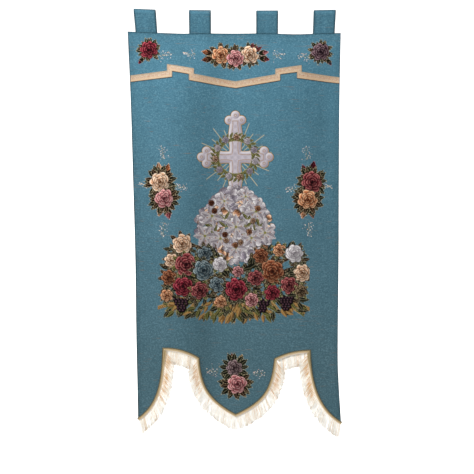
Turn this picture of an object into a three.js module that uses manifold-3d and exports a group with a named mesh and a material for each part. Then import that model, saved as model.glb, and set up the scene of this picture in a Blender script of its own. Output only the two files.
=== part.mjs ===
// A church banner of woven tapestry cloth, hung by four cloth tabs, in millimetres.
// X runs to the right along the hanging line, Y away from the viewer and Z up.
// The origin is on the hanging line, above the middle of the panel.
// The cloth hangs in soft upright folds. Its lower edge is cut in two side tails and a
// middle point, and is trimmed with a gold gimp cord and a cream fringe.
import * as THREE from "three";
import { mergeVertices } from "three/addons/utils/BufferGeometryUtils.js";
import Module from "manifold-3d";

const wasm = await Module();
wasm.setup();

// Cloth and seat sizes
const PANEL_DROP = 59.5; // from the hanging line down to the panel's top edge
const PANEL_LENGTH = 1222; // from the top edge to below the lowest tail
const CLOTH = 2;
const HEMMED_CLOTH = 3;
const SIDE_HEM = 16;
const TOP_HEM = 24;
const HEM_STEP = 2; // width over which the hem's extra layer ends
const SEAT_GAP = 0.3;

// Tabs, each a folded strip that leaves a loop for a rod
const TAB_WIDTH = 68;
const TAB_CLOTH = 2.4;
const LOOP_RADIUS = 11;
const TAB_SEAM = 2.5; // where the two legs meet, above the panel's top edge
const LOOP_FOOT = 6.5; // lowest point inside the loop, above the panel's top edge
const TAB_TAIL = 22; // sewn behind the top hem
const TABS = [
  { name: "tab_1", at: -277, lift: 3, lean: -0.075, tilt: -0.041 },
  { name: "tab_2", at: -110.5, lift: 0, lean: -0.004, tilt: -0.008 },
  { name: "tab_3", at: 97.5, lift: -1.2, lean: 0.003, tilt: 0.004 },
  { name: "tab_4", at: 273.5, lift: 0.5, lean: 0.04, tilt: 0.019 },
];

// Distance of each side edge from the middle line, by depth below the top edge
const SIDES = [
  { depth: 0, left: 335, right: 326 },
  { depth: 200, left: 326, right: 322.5 },
  { depth: 450, left: 318.5, right: 320.5 },
  { depth: 700, left: 311.5, right: 319.5 },
  { depth: 930, left: 308.5, right: 317 },
  { depth: 1040, left: 306, right: 317.5 },
  { depth: 1222, left: 301.5, right: 327 },
];

// Rise of the top edge where the tabs pull it up and where it sags between them
const TOP_EDGE = [
  { at: -340, rise: 6.2 },
  { at: -240, rise: 2.2 },
  { at: -165, rise: -0.6 },
  { at: -110, rise: 0.5 },
  { at: -10, rise: -0.5 },
  { at: 97, rise: 0.3 },
  { at: 190, rise: -2.4 },
  { at: 273, rise: 0.4 },
  { at: 340, rise: 1.8 },
];
const TOP_EDGE_FADE = 60; // depth at which the top edge's unevenness has gone

// Upright folds: place across the cloth, spread and rise towards the viewer
const FOLDS = [
  { topAt: -332, lowAt: -332, topSpread: 68, lowSpread: 60, topRise: -7, lowRise: -4 },
  { topAt: -165, lowAt: -160, topSpread: 92, lowSpread: 62, topRise: 23, lowRise: 18 },
  { topAt: -46, lowAt: -70, topSpread: 44, lowSpread: 32, topRise: -10, lowRise: -8 },
  { topAt: 160, lowAt: 212, topSpread: 92, lowSpread: 108, topRise: 13, lowRise: 9 },
  { topAt: 286, lowAt: 296, topSpread: 40, lowSpread: 44, topRise: -9, lowRise: -4 },
];
const FOLD_START = 12;
const FOLD_FULL = 165;
const FOLD_TOP = 150; // depths between which the folds pass from their top to their low form
const FOLD_LOW = 960;
const TAIL_CURL = { from: 1060, to: 1222, rise: 7 };

// The cut lower edge, from the left tail's tip to the right tail's, in X and depth
const LEFT_TIP = [-301.6, 1196.5];
const LEFT_NOTCH_OUT = [-221, 979];
const LEFT_NOTCH_IN = [-117.2, 1007.5];
const MIDDLE_POINT = [0, 1184.2];
const RIGHT_NOTCH_IN = [124.6, 1010.5];
const RIGHT_NOTCH_OUT = [226.9, 985.8];
const RIGHT_TIP = [326.5, 1208];
const RUNS = [
  { name: "fringe_left_tail", bends: [LEFT_TIP, [-241.6, 1154.5], [-224, 1094.5], LEFT_NOTCH_OUT] },
  { name: "fringe_left_notch", bends: [LEFT_NOTCH_OUT, [-165, 976.5], LEFT_NOTCH_IN] },
  { name: "fringe_middle_left", bends: [LEFT_NOTCH_IN, [-112, 1090.5], [-88, 1140.5], MIDDLE_POINT] },
  { name: "fringe_middle_right", bends: [MIDDLE_POINT, [98, 1140.5], [114, 1098.5], RIGHT_NOTCH_IN] },
  { name: "fringe_right_notch", bends: [RIGHT_NOTCH_IN, [170, 986.5], RIGHT_NOTCH_OUT] },
  { name: "fringe_right_tail", bends: [RIGHT_NOTCH_OUT, [229, 1090.5], [258, 1168.5], RIGHT_TIP] },
];
const NOTCH_RUNS = ["fringe_left_notch", "fringe_right_notch"];
const NOTCH_CORNERS = [LEFT_NOTCH_OUT, LEFT_NOTCH_IN, RIGHT_NOTCH_IN, RIGHT_NOTCH_OUT];
const STATION = 10; // length between stations along the lower edge

// Gold gimp cord on the lower edge. It is wider where it turns down at each notch's outer corner
const GIMP_WIDTH = 8;
const GIMP_HEIGHT = 3;
const GIMP_INSET = 2.2;
const GIMP_GAP = 0.4;
const GIMP_CORNER_EXTRA = 5;
const GIMP_CORNER_REACH = 65;

// Fringe: a narrow heading and single locks, each a little longer or shorter than the next
const HEADING_WIDTH = 5;
const HEADING_HEIGHT = 2.4;
const HEADING_GAP = 0.5;
const LOCK_LENGTH = 38;
const LOCK_VARIETY = 2.5;
const LOCK_WIDTH = 2.6;
const LOCK_HEIGHT = 0.9;
const LOCK_PITCH = 4.3;
const LOCK_LEAST_PITCH = 3.2; // measured square to the locks
const LOCK_ROOT = 3; // how far inside the heading a lock begins
const OUTWARD_LEAN = 0.3;
const STEEP_LEAN = 0.65; // further lean where the edge is upright
const FRONT_LAYER = 0.55; // the locks' middle behind the panel's front
const BACK_LAYER = 2.2; // locks of the notches hang behind those of the tails
const CORNER_MARGIN = HEADING_WIDTH + LOCK_WIDTH; // bare length beside a notch's corner

// Stepped galloon ribbon across the heading, in X and depth. Its right end is sewn lower
const GALLOON_UPPER = [
  [-326, 130], [-212, 117.5], [-212, 96.5], [-129, 110], [-129, 127], [0, 148.7],
  [123, 128], [123, 111], [204, 99], [204, 120], [326, 136],
];
const GALLOON_LOWER = [
  [-326, 151], [-196, 138.5], [-196, 120], [-144, 129.5], [-144, 148.5], [0, 171],
  [137.5, 148.8], [137.5, 129.3], [189.5, 122.3], [189.5, 141], [326, 156],
];
const GALLOON_CLOTH = 1;
const GALLOON_SIDE_MARGIN = 1.5;

// Half length of the prisms that cut the cloth, and their reach past its edges
const CUT_REACH = 80;

// Columns and rows of the panel's folded surface
const COLUMNS = 34;
const FINE_ROWS = 8;
const FINE_DEPTH = 210;
const COARSE_ROWS = 17;

const TEAL = 0x4d8296;
const GALLOON_COLOUR = 0xe2be98;
const GIMP_COLOUR = 0xc1925a;
const CREAM = 0xf2e8d2;

const { clamp, lerp, smoothstep } = THREE.MathUtils;

// Value of one column of a table at a place between its rows, as a smooth curve
function between(table, key, column, place) {
  const last = table.length - 1;
  let i = 0;
  while (i < last - 1 && place > table[i + 1][key]) i++;
  const span = table[i + 1][key] - table[i][key];
  const t = clamp((place - table[i][key]) / span, 0, 1);
  const slope = (k) => {
    const a = table[Math.max(k - 1, 0)];
    const b = table[Math.min(k + 1, last)];
    return (b[column] - a[column]) / (b[key] - a[key]);
  };
  const [y0, y1] = [table[i][column], table[i + 1][column]];
  const [m0, m1] = [slope(i) * span, slope(i + 1) * span];
  return (
    (2 * t ** 3 - 3 * t ** 2 + 1) * y0 +
    (t ** 3 - 2 * t ** 2 + t) * m0 +
    (3 * t ** 2 - 2 * t ** 3) * y1 +
    (t ** 3 - t ** 2) * m1
  );
}

// Rise of the cloth towards the viewer
function foldRise(x, depth) {
  const down = smoothstep(depth, FOLD_TOP, FOLD_LOW);
  let rise = 0;
  for (const fold of FOLDS) {
    const at = lerp(fold.topAt, fold.lowAt, down);
    const spread = lerp(fold.topSpread, fold.lowSpread, down);
    rise += lerp(fold.topRise, fold.lowRise, down) * Math.exp(-(((x - at) / spread) ** 2) / 2);
  }
  const curl = TAIL_CURL.rise * smoothstep(depth, TAIL_CURL.from, TAIL_CURL.to);
  return rise * smoothstep(depth, FOLD_START, FOLD_FULL) + curl;
}

function edgeOf(x, depth) {
  return between(SIDES, "depth", x < 0 ? "left" : "right", depth);
}

// The panel's columns run from -1 to 1 across the cloth, and stand close together at the hems
function columnPlaces() {
  const inner = 1 - (SIDE_HEM + HEM_STEP) / edgeOf(1, 0);
  const places = [-1, -1 + SIDE_HEM / edgeOf(-1, 0)];
  for (let i = 0; i <= COLUMNS; i++) places.push(inner * (-1 + (2 * i) / COLUMNS));
  places.push(1 - SIDE_HEM / edgeOf(1, 0), 1);
  return places;
}

function rowDepths() {
  const depths = [0, TOP_HEM];
  for (let i = 0; i <= FINE_ROWS; i++) {
    depths.push(lerp(TOP_HEM + HEM_STEP, FINE_DEPTH, i / FINE_ROWS));
  }
  for (let i = 1; i <= COARSE_ROWS; i++) depths.push(lerp(FINE_DEPTH, PANEL_LENGTH, i / COARSE_ROWS));
  return depths;
}

const PLACES = columnPlaces();
const DEPTHS = rowDepths();
const FRONT = -(HEMMED_CLOTH + SEAT_GAP / 2); // Y of the flat top hem's front

function panelVertex(i, j) {
  const depth = DEPTHS[j];
  const x = PLACES[i] * edgeOf(PLACES[i], depth);
  const rise = between(TOP_EDGE, "at", "rise", x) * (1 - smoothstep(depth, 0, TOP_EDGE_FADE));
  return new THREE.Vector3(x, FRONT - foldRise(x, depth), -PANEL_DROP - depth + rise);
}

// Y of the panel's front on its own flat facets, so that the trims keep their gap to it
function frontAt(x, depth) {
  const place = x / edgeOf(x, depth);
  const find = (list, value) => {
    let k = 0;
    while (k < list.length - 2 && value > list[k + 1]) k++;
    return [k, (value - list[k]) / (list[k + 1] - list[k])];
  };
  const [i, s] = find(PLACES, place);
  const [j, t] = find(DEPTHS, depth);
  const y = (a, b) => panelVertex(a, b).y;
  return lerp(lerp(y(i, j), y(i + 1, j), s), lerp(y(i, j + 1), y(i + 1, j + 1), s), t);
}

function toGeometry(points, triangles) {
  const geometry = new THREE.BufferGeometry();
  const flat = points.flatMap((p) => [p.x, p.y, p.z]);
  geometry.setAttribute("position", new THREE.Float32BufferAttribute(flat, 3));
  geometry.setIndex(triangles);
  return geometry;
}

function toSolid(geometry) {
  const bare = geometry.clone();
  bare.deleteAttribute("normal");
  bare.deleteAttribute("uv");
  const merged = mergeVertices(bare, 1e-3);
  const vertProperties = new Float32Array(merged.attributes.position.array);
  const triVerts = new Uint32Array(merged.index.array);
  return new wasm.Manifold(new wasm.Mesh({ numProp: 3, vertProperties, triVerts }));
}

function fromSolid(solid) {
  const mesh = solid.getMesh();
  const geometry = new THREE.BufferGeometry();
  geometry.setAttribute("position", new THREE.BufferAttribute(mesh.vertProperties, 3));
  geometry.setIndex(new THREE.BufferAttribute(mesh.triVerts, 1));
  return geometry;
}

// A closed skin over rings of points that all have the same count, capped at both ends
function loft(rings) {
  const sides = rings[0].length;
  const triangles = [];
  for (let r = 0; r < rings.length - 1; r++) {
    for (let k = 0; k < sides; k++) {
      const a = r * sides + k;
      const b = r * sides + ((k + 1) % sides);
      triangles.push(a, b + sides, b, a, a + sides, b + sides);
    }
  }
  const end = (rings.length - 1) * sides;
  for (let k = 1; k < sides - 1; k++) {
    triangles.push(0, k, k + 1, end, end + k + 1, end + k);
  }
  return toGeometry(rings.flat(), triangles);
}

// A folded sheet as large as the uncut panel. It lies so far ahead of the panel's front, and
// has one thickness in the hems and another between them
function foldedSheet(ahead, hemmed, plain) {
  const [across, down] = [PLACES.length, DEPTHS.length];
  const points = [];
  for (const back of [false, true]) {
    for (let j = 0; j < down; j++) {
      for (let i = 0; i < across; i++) {
        const p = panelVertex(i, j);
        const inHem = j < 2 || i < 2 || i >= across - 2;
        p.y -= ahead;
        if (back) p.y += inHem ? hemmed : plain;
        points.push(p);
      }
    }
  }
  const id = (i, j, back) => (back ? across * down : 0) + j * across + i;
  const triangles = [];
  const quad = (a, b, c, d) => triangles.push(a, b, c, a, c, d);
  for (let j = 0; j < down - 1; j++) {
    for (let i = 0; i < across - 1; i++) {
      quad(id(i, j, false), id(i, j + 1, false), id(i + 1, j + 1, false), id(i + 1, j, false));
      quad(id(i, j, true), id(i + 1, j, true), id(i + 1, j + 1, true), id(i, j + 1, true));
    }
  }
  for (let j = 0; j < down - 1; j++) {
    const right = across - 1;
    quad(id(0, j, false), id(0, j, true), id(0, j + 1, true), id(0, j + 1, false));
    quad(id(right, j, false), id(right, j + 1, false), id(right, j + 1, true), id(right, j, true));
  }
  for (let i = 0; i < across - 1; i++) {
    const low = down - 1;
    quad(id(i, 0, false), id(i + 1, 0, false), id(i + 1, 0, true), id(i, 0, true));
    quad(id(i, low, false), id(i, low, true), id(i + 1, low, true), id(i + 1, low, false));
  }
  return toGeometry(points, triangles);
}

// A prism along Y, long enough to pass through every fold, of an outline in X and Z
function prismThrough(shape) {
  const prism = new THREE.ExtrudeGeometry(shape, { depth: 2 * CUT_REACH, bevelEnabled: false });
  prism.translate(0, 0, -CUT_REACH);
  prism.rotateX(Math.PI / 2);
  return prism;
}

const vector = ([x, depth]) => new THREE.Vector2(x, -PANEL_DROP - depth);

function runCurve(run) {
  const bends = run.bends.map(vector);
  return bends.length === 3
    ? new THREE.QuadraticBezierCurve(...bends)
    : new THREE.CubicBezierCurve(...bends);
}

// Everything below the cut edge
function lowerCutter() {
  const floor = -PANEL_DROP - PANEL_LENGTH - CUT_REACH;
  const start = vector(LEFT_TIP);
  const end = vector(RIGHT_TIP);
  const shape = new THREE.Shape();
  shape.moveTo(start.x - CUT_REACH, floor);
  shape.lineTo(end.x + CUT_REACH, floor);
  shape.lineTo(end.x + CUT_REACH, end.y - CUT_REACH / 2);
  for (const run of [...RUNS].reverse()) {
    const curve = runCurve(run);
    const steps = Math.ceil(curve.getLength() / STATION);
    for (let k = steps; k > 0; k--) {
      const p = curve.getPointAt(k / steps);
      shape.lineTo(p.x, p.y);
    }
  }
  shape.lineTo(start.x, start.y);
  shape.lineTo(start.x - CUT_REACH, start.y - CUT_REACH / 2);
  return prismThrough(shape);
}

function panel() {
  const sheet = foldedSheet(0, HEMMED_CLOTH, CLOTH);
  return fromSolid(toSolid(sheet).subtract(toSolid(lowerCutter())));
}

// Profile of a tab in Y and Z, with Z from the panel's top edge: a loop over the hanging
// line, two legs that meet at the seam, and a doubled tail behind the top hem
function tab(place) {
  const front = SEAT_GAP / 2;
  const back = front + 2 * TAB_CLOTH;
  const middle = (front + back) / 2;
  const outer = LOOP_RADIUS + TAB_CLOTH;
  const touch = (y, z, radius) => {
    const reach = Math.hypot(y, z - PANEL_DROP);
    const away = Math.acos(radius / reach);
    const towards = Math.atan2(z - PANEL_DROP, y);
    return [towards - away, towards + away];
  };
  const [frontTouch] = touch(front, TAB_SEAM, outer);
  const [, backTouch] = touch(back, TAB_SEAM, outer);
  const [innerFront, innerBack] = touch(middle, LOOP_FOOT, LOOP_RADIUS);
  const shape = new THREE.Shape();
  shape.moveTo(front, -TAB_TAIL);
  shape.lineTo(back, -TAB_TAIL);
  shape.lineTo(back, TAB_SEAM);
  shape.absarc(0, PANEL_DROP, outer, backTouch, frontTouch + 2 * Math.PI, false);
  shape.lineTo(front, TAB_SEAM);
  const loop = new THREE.Path();
  loop.absarc(0, PANEL_DROP, LOOP_RADIUS, innerBack, innerFront + 2 * Math.PI, false);
  loop.lineTo(middle, LOOP_FOOT);
  shape.holes.push(loop);
  const strip = new THREE.ExtrudeGeometry(shape, {
    depth: TAB_WIDTH,
    bevelEnabled: false,
    curveSegments: 14,
  });
  strip.translate(0, 0, -TAB_WIDTH / 2);
  const upright = new THREE.Matrix4().makeBasis(
    new THREE.Vector3(0, 1, 0),
    new THREE.Vector3(0, 0, 1),
    new THREE.Vector3(1, 0, 0),
  );
  const { lean, tilt } = place;
  const hang = new THREE.Matrix4().set(1, 0, lean, 0, 0, 1, 0, 0, tilt, 0, 1, 0, 0, 0, 0, 1);
  strip.applyMatrix4(upright).applyMatrix4(hang);
  strip.translate(place.at, 0, place.lift - PANEL_DROP);
  return strip;
}

// The ribbon follows the panel's folds inside its own stepped outline
function galloon() {
  const corners = [...GALLOON_LOWER, ...GALLOON_UPPER.toReversed()].map(([x, depth]) => {
    const most = edgeOf(x, depth) - GALLOON_SIDE_MARGIN;
    return vector([clamp(x, -most, most), depth]);
  });
  const sheet = foldedSheet(SEAT_GAP + GALLOON_CLOTH, GALLOON_CLOTH, GALLOON_CLOTH);
  const outline = prismThrough(new THREE.Shape(corners));
  return fromSolid(toSolid(sheet).intersect(toSolid(outline)));
}

// Stations along one run or more of the lower edge, each with its outward direction, which
// at a corner is that of the mitre
function stationsOf(runs) {
  const stations = [];
  for (const run of runs) {
    const curve = runCurve(run);
    const steps = Math.ceil(curve.getLength() / STATION);
    for (let k = 0; k <= steps; k++) {
      const t = curve.getTangentAt(k / steps);
      const outward = new THREE.Vector2(t.y, -t.x);
      const at = curve.getPointAt(k / steps);
      const before = stations.at(-1);
      if (before && before.at.distanceTo(at) < 1e-6) {
        before.outward = mitre(before.outward, outward);
      } else stations.push({ at, outward, run: run.name });
    }
  }
  return stations;
}

function mitre(a, b) {
  const both = a.clone().add(b).normalize();
  return both.divideScalar(both.dot(b));
}

// One ring of a trim's section: pairs of distance outward and distance behind the front
function ringAt(station, section) {
  return section.map(([out, behind]) => {
    const p = station.at.clone().addScaledVector(station.outward, out);
    return new THREE.Vector3(p.x, frontAt(p.x, -PANEL_DROP - p.y) + behind, p.y);
  });
}

// Extra width where the cord is turned over at the outer corner of each notch
function cornerExtra(station) {
  const corner = station.at.x < 0 ? vector(LEFT_NOTCH_OUT) : vector(RIGHT_NOTCH_OUT);
  const onTail = /tail/.test(station.run);
  const near = 1 - smoothstep(station.at.distanceTo(corner), 0, GIMP_CORNER_REACH);
  return onTail ? GIMP_CORNER_EXTRA * near : 0;
}

function gimp() {
  const rings = stationsOf(RUNS).map((station) => {
    const low = -GIMP_GAP;
    const high = low - GIMP_HEIGHT;
    const inner = -GIMP_INSET - GIMP_WIDTH / 2;
    const outer = -GIMP_INSET + GIMP_WIDTH / 2 + cornerExtra(station);
    const bevel = GIMP_WIDTH / 4;
    return ringAt(station, [
      [inner, low - bevel],
      [inner + bevel, low],
      [outer - bevel, low],
      [outer, low - bevel],
      [outer - bevel, high],
      [inner + bevel, high],
    ]);
  });
  return loft(rings);
}

// The narrow heading that holds a run's locks, mitred to its neighbours
function heading(run) {
  const index = RUNS.indexOf(run);
  const stations = stationsOf([run]);
  const near = [RUNS[index - 1], RUNS[index + 1]];
  near.forEach((other, side) => {
    if (!other) return;
    const end = side ? stations.at(-1) : stations[0];
    const next = stations.at(side ? -2 : 1);
    const theirs = stationsOf([other]).at(side ? 0 : -1).outward;
    end.outward = mitre(end.outward, theirs);
    end.at.lerp(next.at, HEADING_GAP / end.at.distanceTo(next.at));
  });
  const inner = HEADING_GAP;
  const outer = HEADING_GAP + HEADING_WIDTH;
  const back = HEADING_HEIGHT;
  return loft(stations.map((s) => ringAt(s, [[inner, 0], [inner, back], [outer, back], [outer, 0]])));
}

// One lock, three-sided, that leans outward and lies along the fold it hangs from
function lock(root, along, length, behind) {
  const tip = root.clone().addScaledVector(along, LOCK_ROOT + length);
  const side = new THREE.Vector2(-along.y, along.x).multiplyScalar(LOCK_WIDTH / 2);
  const rings = [root, tip].map((at) => {
    const y = frontAt(at.x, -PANEL_DROP - at.y) + behind;
    const left = at.clone().sub(side);
    const right = at.clone().add(side);
    return [
      new THREE.Vector3(left.x, y + LOCK_HEIGHT / 2, left.y),
      new THREE.Vector3(at.x, y - LOCK_HEIGHT / 2, at.y),
      new THREE.Vector3(right.x, y + LOCK_HEIGHT / 2, right.y),
    ];
  });
  return loft(rings);
}

function fringe(run) {
  const curve = runCurve(run);
  const length = curve.getLength();
  const inNotch = NOTCH_RUNS.includes(run.name);
  const behind = inNotch ? BACK_LAYER : FRONT_LAYER;
  const margin = (bend) => (NOTCH_CORNERS.includes(bend) ? CORNER_MARGIN : LOCK_WIDTH / 2);
  const last = length - margin(run.bends.at(-1));
  let solid = toSolid(heading(run));
  let s = margin(run.bends[0]);
  for (let count = 0; s < last; count++) {
    const t = curve.getTangentAt(s / length);
    const outward = new THREE.Vector2(t.y, -t.x);
    const lean = OUTWARD_LEAN + STEEP_LEAN * outward.x ** 2;
    const along = new THREE.Vector2(0, -1).addScaledVector(outward, lean).normalize();
    const root = curve.getPointAt(s / length);
    root.addScaledVector(outward, HEADING_GAP + HEADING_WIDTH - LOCK_ROOT / 2);
    const long = LOCK_LENGTH + LOCK_VARIETY * Math.sin(2.4 * count + 0.7 * s);
    solid = solid.add(toSolid(lock(root, along, long, behind)));
    const across = Math.abs(t.x * along.y - t.y * along.x);
    s += Math.max(LOCK_PITCH, LOCK_LEAST_PITCH / across);
  }
  return fromSolid(solid);
}

function piece(name, geometry, color, roughness) {
  const material = new THREE.MeshStandardMaterial({ color, roughness, metalness: 0 });
  const mesh = new THREE.Mesh(geometry, material);
  mesh.name = name;
  return mesh;
}

const banner = new THREE.Group();
banner.add(piece("panel", panel(), TEAL, 0.85));
for (const place of TABS) banner.add(piece(place.name, tab(place), TEAL, 0.85));
banner.add(piece("galloon", galloon(), GALLOON_COLOUR, 0.6));
banner.add(piece("gimp", gimp(), GIMP_COLOUR, 0.5));
for (const run of RUNS) banner.add(piece(run.name, fringe(run), CREAM, 0.8));

export default banner;
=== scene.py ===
from math import acos, atan2, comb, copysign, cos, exp, hypot, pi, sin, sqrt

import bpy
import numpy as np
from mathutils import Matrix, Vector
from mathutils.geometry import delaunay_2d_cdt


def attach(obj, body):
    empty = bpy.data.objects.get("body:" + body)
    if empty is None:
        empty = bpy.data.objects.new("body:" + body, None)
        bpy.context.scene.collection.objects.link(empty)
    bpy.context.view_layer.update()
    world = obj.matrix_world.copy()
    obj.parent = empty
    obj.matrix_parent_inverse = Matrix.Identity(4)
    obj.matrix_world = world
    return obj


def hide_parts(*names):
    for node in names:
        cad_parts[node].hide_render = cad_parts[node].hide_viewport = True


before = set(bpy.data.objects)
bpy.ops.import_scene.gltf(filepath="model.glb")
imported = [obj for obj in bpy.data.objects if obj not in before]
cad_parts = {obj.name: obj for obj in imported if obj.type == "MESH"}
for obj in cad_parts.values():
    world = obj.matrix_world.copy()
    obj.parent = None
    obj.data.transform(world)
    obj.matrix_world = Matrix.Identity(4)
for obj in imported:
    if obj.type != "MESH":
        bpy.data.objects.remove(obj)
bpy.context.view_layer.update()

# The banner's own sizes, in millimetres, as the frame has them. X runs across the cloth and
# depth runs down from the panel's top edge. The origin is on the hanging line.
PANEL_DROP = 59.5
CLOTH = 2.0
HEMMED_CLOTH = 3.0
SIDE_HEM = 16.0
TOP_HEM = 24.0
SEAT_GAP = 0.3
FRONT = -(HEMMED_CLOTH + SEAT_GAP / 2)
CLOTH_PITCH = 4.2

# Distance of each side edge from the middle line, by depth
SIDE_DEPTHS = [0, 200, 450, 700, 930, 1040, 1222]
LEFT_SIDE = [335, 326, 318.5, 311.5, 308.5, 306, 301.5]
RIGHT_SIDE = [326, 322.5, 320.5, 319.5, 317, 317.5, 327]

# Rise of the top edge, by place across the cloth
TOP_EDGE_PLACES = [-340, -240, -165, -110, -10, 97, 190, 273, 340]
TOP_EDGE_RISES = [6.2, 2.2, -0.6, 0.5, -0.5, 0.3, -2.4, 0.4, 1.8]
TOP_EDGE_FADE = 60.0

# Upright folds: place across the cloth, spread, and rise towards the viewer, each at the
# fold's top and low down
FOLDS = [
    ((-332, -332), (68, 60), (-7, -4)),
    ((-165, -160), (92, 62), (23, 18)),
    ((-46, -70), (44, 32), (-10, -8)),
    ((160, 212), (92, 108), (13, 9)),
    ((286, 296), (40, 44), (-9, -4)),
]
FOLD_START, FOLD_FULL = 12.0, 165.0
FOLD_TOP, FOLD_LOW = 150.0, 960.0
CURL_FROM, CURL_TO, CURL_RISE = 1060.0, 1222.0, 7.0

# The cut lower edge, from the left tail's tip to the right tail's, in X and depth
LEFT_TIP = (-301.6, 1196.5)
LEFT_NOTCH_OUT = (-221, 979)
LEFT_NOTCH_IN = (-117.2, 1007.5)
MIDDLE_POINT = (0, 1184.2)
RIGHT_NOTCH_IN = (124.6, 1010.5)
RIGHT_NOTCH_OUT = (226.9, 985.8)
RIGHT_TIP = (326.5, 1208)
NOTCH_CORNERS = (LEFT_NOTCH_OUT, LEFT_NOTCH_IN, RIGHT_NOTCH_IN, RIGHT_NOTCH_OUT)
RUNS = {
    "fringe_left_tail": [LEFT_TIP, (-241.6, 1154.5), (-224, 1094.5), LEFT_NOTCH_OUT],
    "fringe_left_notch": [LEFT_NOTCH_OUT, (-165, 976.5), LEFT_NOTCH_IN],
    "fringe_middle_left": [LEFT_NOTCH_IN, (-112, 1090.5), (-88, 1140.5), MIDDLE_POINT],
    "fringe_middle_right": [MIDDLE_POINT, (98, 1140.5), (114, 1098.5), RIGHT_NOTCH_IN],
    "fringe_right_notch": [RIGHT_NOTCH_IN, (170, 986.5), RIGHT_NOTCH_OUT],
    "fringe_right_tail": [RIGHT_NOTCH_OUT, (229, 1090.5), (258, 1168.5), RIGHT_TIP],
}
MITRE_REACH = 10

# Gimp: a tape's section and its cords, wider where they turn down at a notch's outer corner.
# Each cord has its place outward, its place behind the front and its radius
GIMP_PITCH = 0.9
CORNER_EXTRA, CORNER_REACH = 5, 65
TAPE_OUT = np.array([-6.2, -6.1, -5.2, -3.8, -2, -0.2, 1.4, 1.8])
TAPE_EXTRA = np.array([0, 0, 0, 0, 0.5, 1, 1, 1])
TAPE_BEHIND = np.array([-0.45, -1.1, -1.5, -1.7, -1.7, -1.7, -1.5, -0.45])
TAPE_WEAVE = np.array([0, 0, 0, 1, -1, 1, 0, 0])
CORD_TWIST = 3.4

# Fringe: a heading's section, outward and behind the front, and strands gathered in locks
HEADING_PITCH = 1.1
HEADING = np.array([[0.5, 0.3], [0.5, 2.1], [3, 2.4], [5.4, 2.1], [5.5, 1.2], [5.4, 0.3],
                    [4.2, 0.05], [3, 0.2], [1.7, 0.05]])
STRAND_PITCH = 0.29
STRANDS_IN_LOCK = 13
STRAND_LENGTH = 40.5
OUTWARD_LEAN, STEEP_LEAN = 0.3, 0.65
FRONT_LAYER, BACK_LAYER = 0.55, 2.2
LAYER_GAP = 0.75

# Tabs, each a folded strip that leaves a loop for a rod: place, lift, lean and tilt
TAB_WIDTH = 68.0
TAB_CLOTH = 2.4
LOOP_RADIUS = 11.0
TAB_SEAM = 2.5
TAB_TAIL = 22.0
TABS = {
    "tab_1": (-277, 3, -0.075, -0.041),
    "tab_2": (-110.5, 0, -0.004, -0.008),
    "tab_3": (97.5, -1.2, 0.003, 0.004),
    "tab_4": (273.5, 0.5, 0.04, 0.019),
}

# Corners of the galloon's upper and lower edge, in X and depth
GALLOON_UPPER = [(-326, 130), (-212, 117.5), (-212, 96.5), (-129, 110), (-129, 127), (0, 148.7),
                 (123, 128), (123, 111), (204, 99), (204, 120), (326, 136)]
GALLOON_LOWER = [(-326, 151), (-196, 138.5), (-196, 120), (-144, 129.5), (-144, 148.5), (0, 171),
                 (137.5, 148.8), (137.5, 129.3), (189.5, 122.3), (189.5, 141), (326, 156)]
GALLOON_PITCH = 1.1
GALLOON_FRONT, GALLOON_BACK = -0.95, -0.35
GALLOON_REPEAT = 13

STITCH_PITCH, STITCH_LENGTH, STITCH_WIDTH = 3.8, 2.8, 0.55
WARP_PITCH, WEFT_PITCH = 1.5, 1.15

# The photograph's frame: millimetres to a pixel, and the pixels of X 0 and depth 0
PIXEL = 3.103
FRAME_PIXELS = 474
MIDDLE_PIXEL = 235.65
TOP_EDGE_PIXEL = 33.6


def smoothstep(value, low, high):
    t = np.clip((value - low) / (high - low), 0, 1)
    return t * t * (3 - 2 * t)


def mix(a, b, t):
    return a + (b - a) * t


def together(*parts):
    """Values of a like shape, side by side in a new last axis."""
    return np.stack(np.broadcast_arrays(*parts), axis=-1)


def unit(ways):
    return ways / np.linalg.norm(ways, axis=-1, keepdims=True)


def quarter(ways):
    """Directions turned by a quarter."""
    return together(-ways[..., 1], ways[..., 0])


def between(places, values, place):
    """A smooth curve through a table's rows, at each place."""
    places, values = np.array(places, float), np.array(values, float)
    k, last = np.arange(len(places)), len(places) - 1
    before, after = np.maximum(k - 1, 0), np.minimum(k + 1, last)
    slopes = (values[after] - values[before]) / (places[after] - places[before])
    i = np.clip(np.searchsorted(places, place) - 1, 0, last - 1)
    span = places[i + 1] - places[i]
    t = np.clip((place - places[i]) / span, 0, 1)
    swing = span * t * (1 - t) * (slopes[i] * (1 - t) - slopes[i + 1] * t)
    return mix(values[i], values[i + 1], t * t * (3 - 2 * t)) + swing


def fold_rise(x, depth):
    """How far the cloth stands towards the viewer."""
    down = smoothstep(depth, FOLD_TOP, FOLD_LOW)
    rise = 0.0
    for fold in FOLDS:
        at, spread, height = (mix(top, low, down) for top, low in fold)
        rise = rise + height * np.exp(-(((x - at) / spread) ** 2) / 2)
    curl = CURL_RISE * smoothstep(depth, CURL_FROM, CURL_TO)
    return rise * smoothstep(depth, FOLD_START, FOLD_FULL) + curl


def side_line(side, depth):
    """Points of the left or right side edge, in X and depth."""
    table = LEFT_SIDE if side < 0 else RIGHT_SIDE
    return together(side * between(SIDE_DEPTHS, table, depth), depth)


def from_side(flat):
    """How far in from the side edges each point is."""
    x, depth = flat[..., 0], flat[..., 1]
    return np.where(x < 0, -side_line(-1, depth)[..., 0], side_line(1, depth)[..., 0]) - abs(x)


def hung(flat, behind=0.0):
    """Points in X and depth on the hanging cloth, so far behind its front face."""
    x, depth = flat[..., 0], flat[..., 1]
    rise = between(TOP_EDGE_PLACES, TOP_EDGE_RISES, x) * (1 - smoothstep(depth, 0, TOP_EDGE_FADE))
    return together(x, FRONT - fold_rise(x, depth) + behind, -PANEL_DROP - depth + rise)


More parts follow.
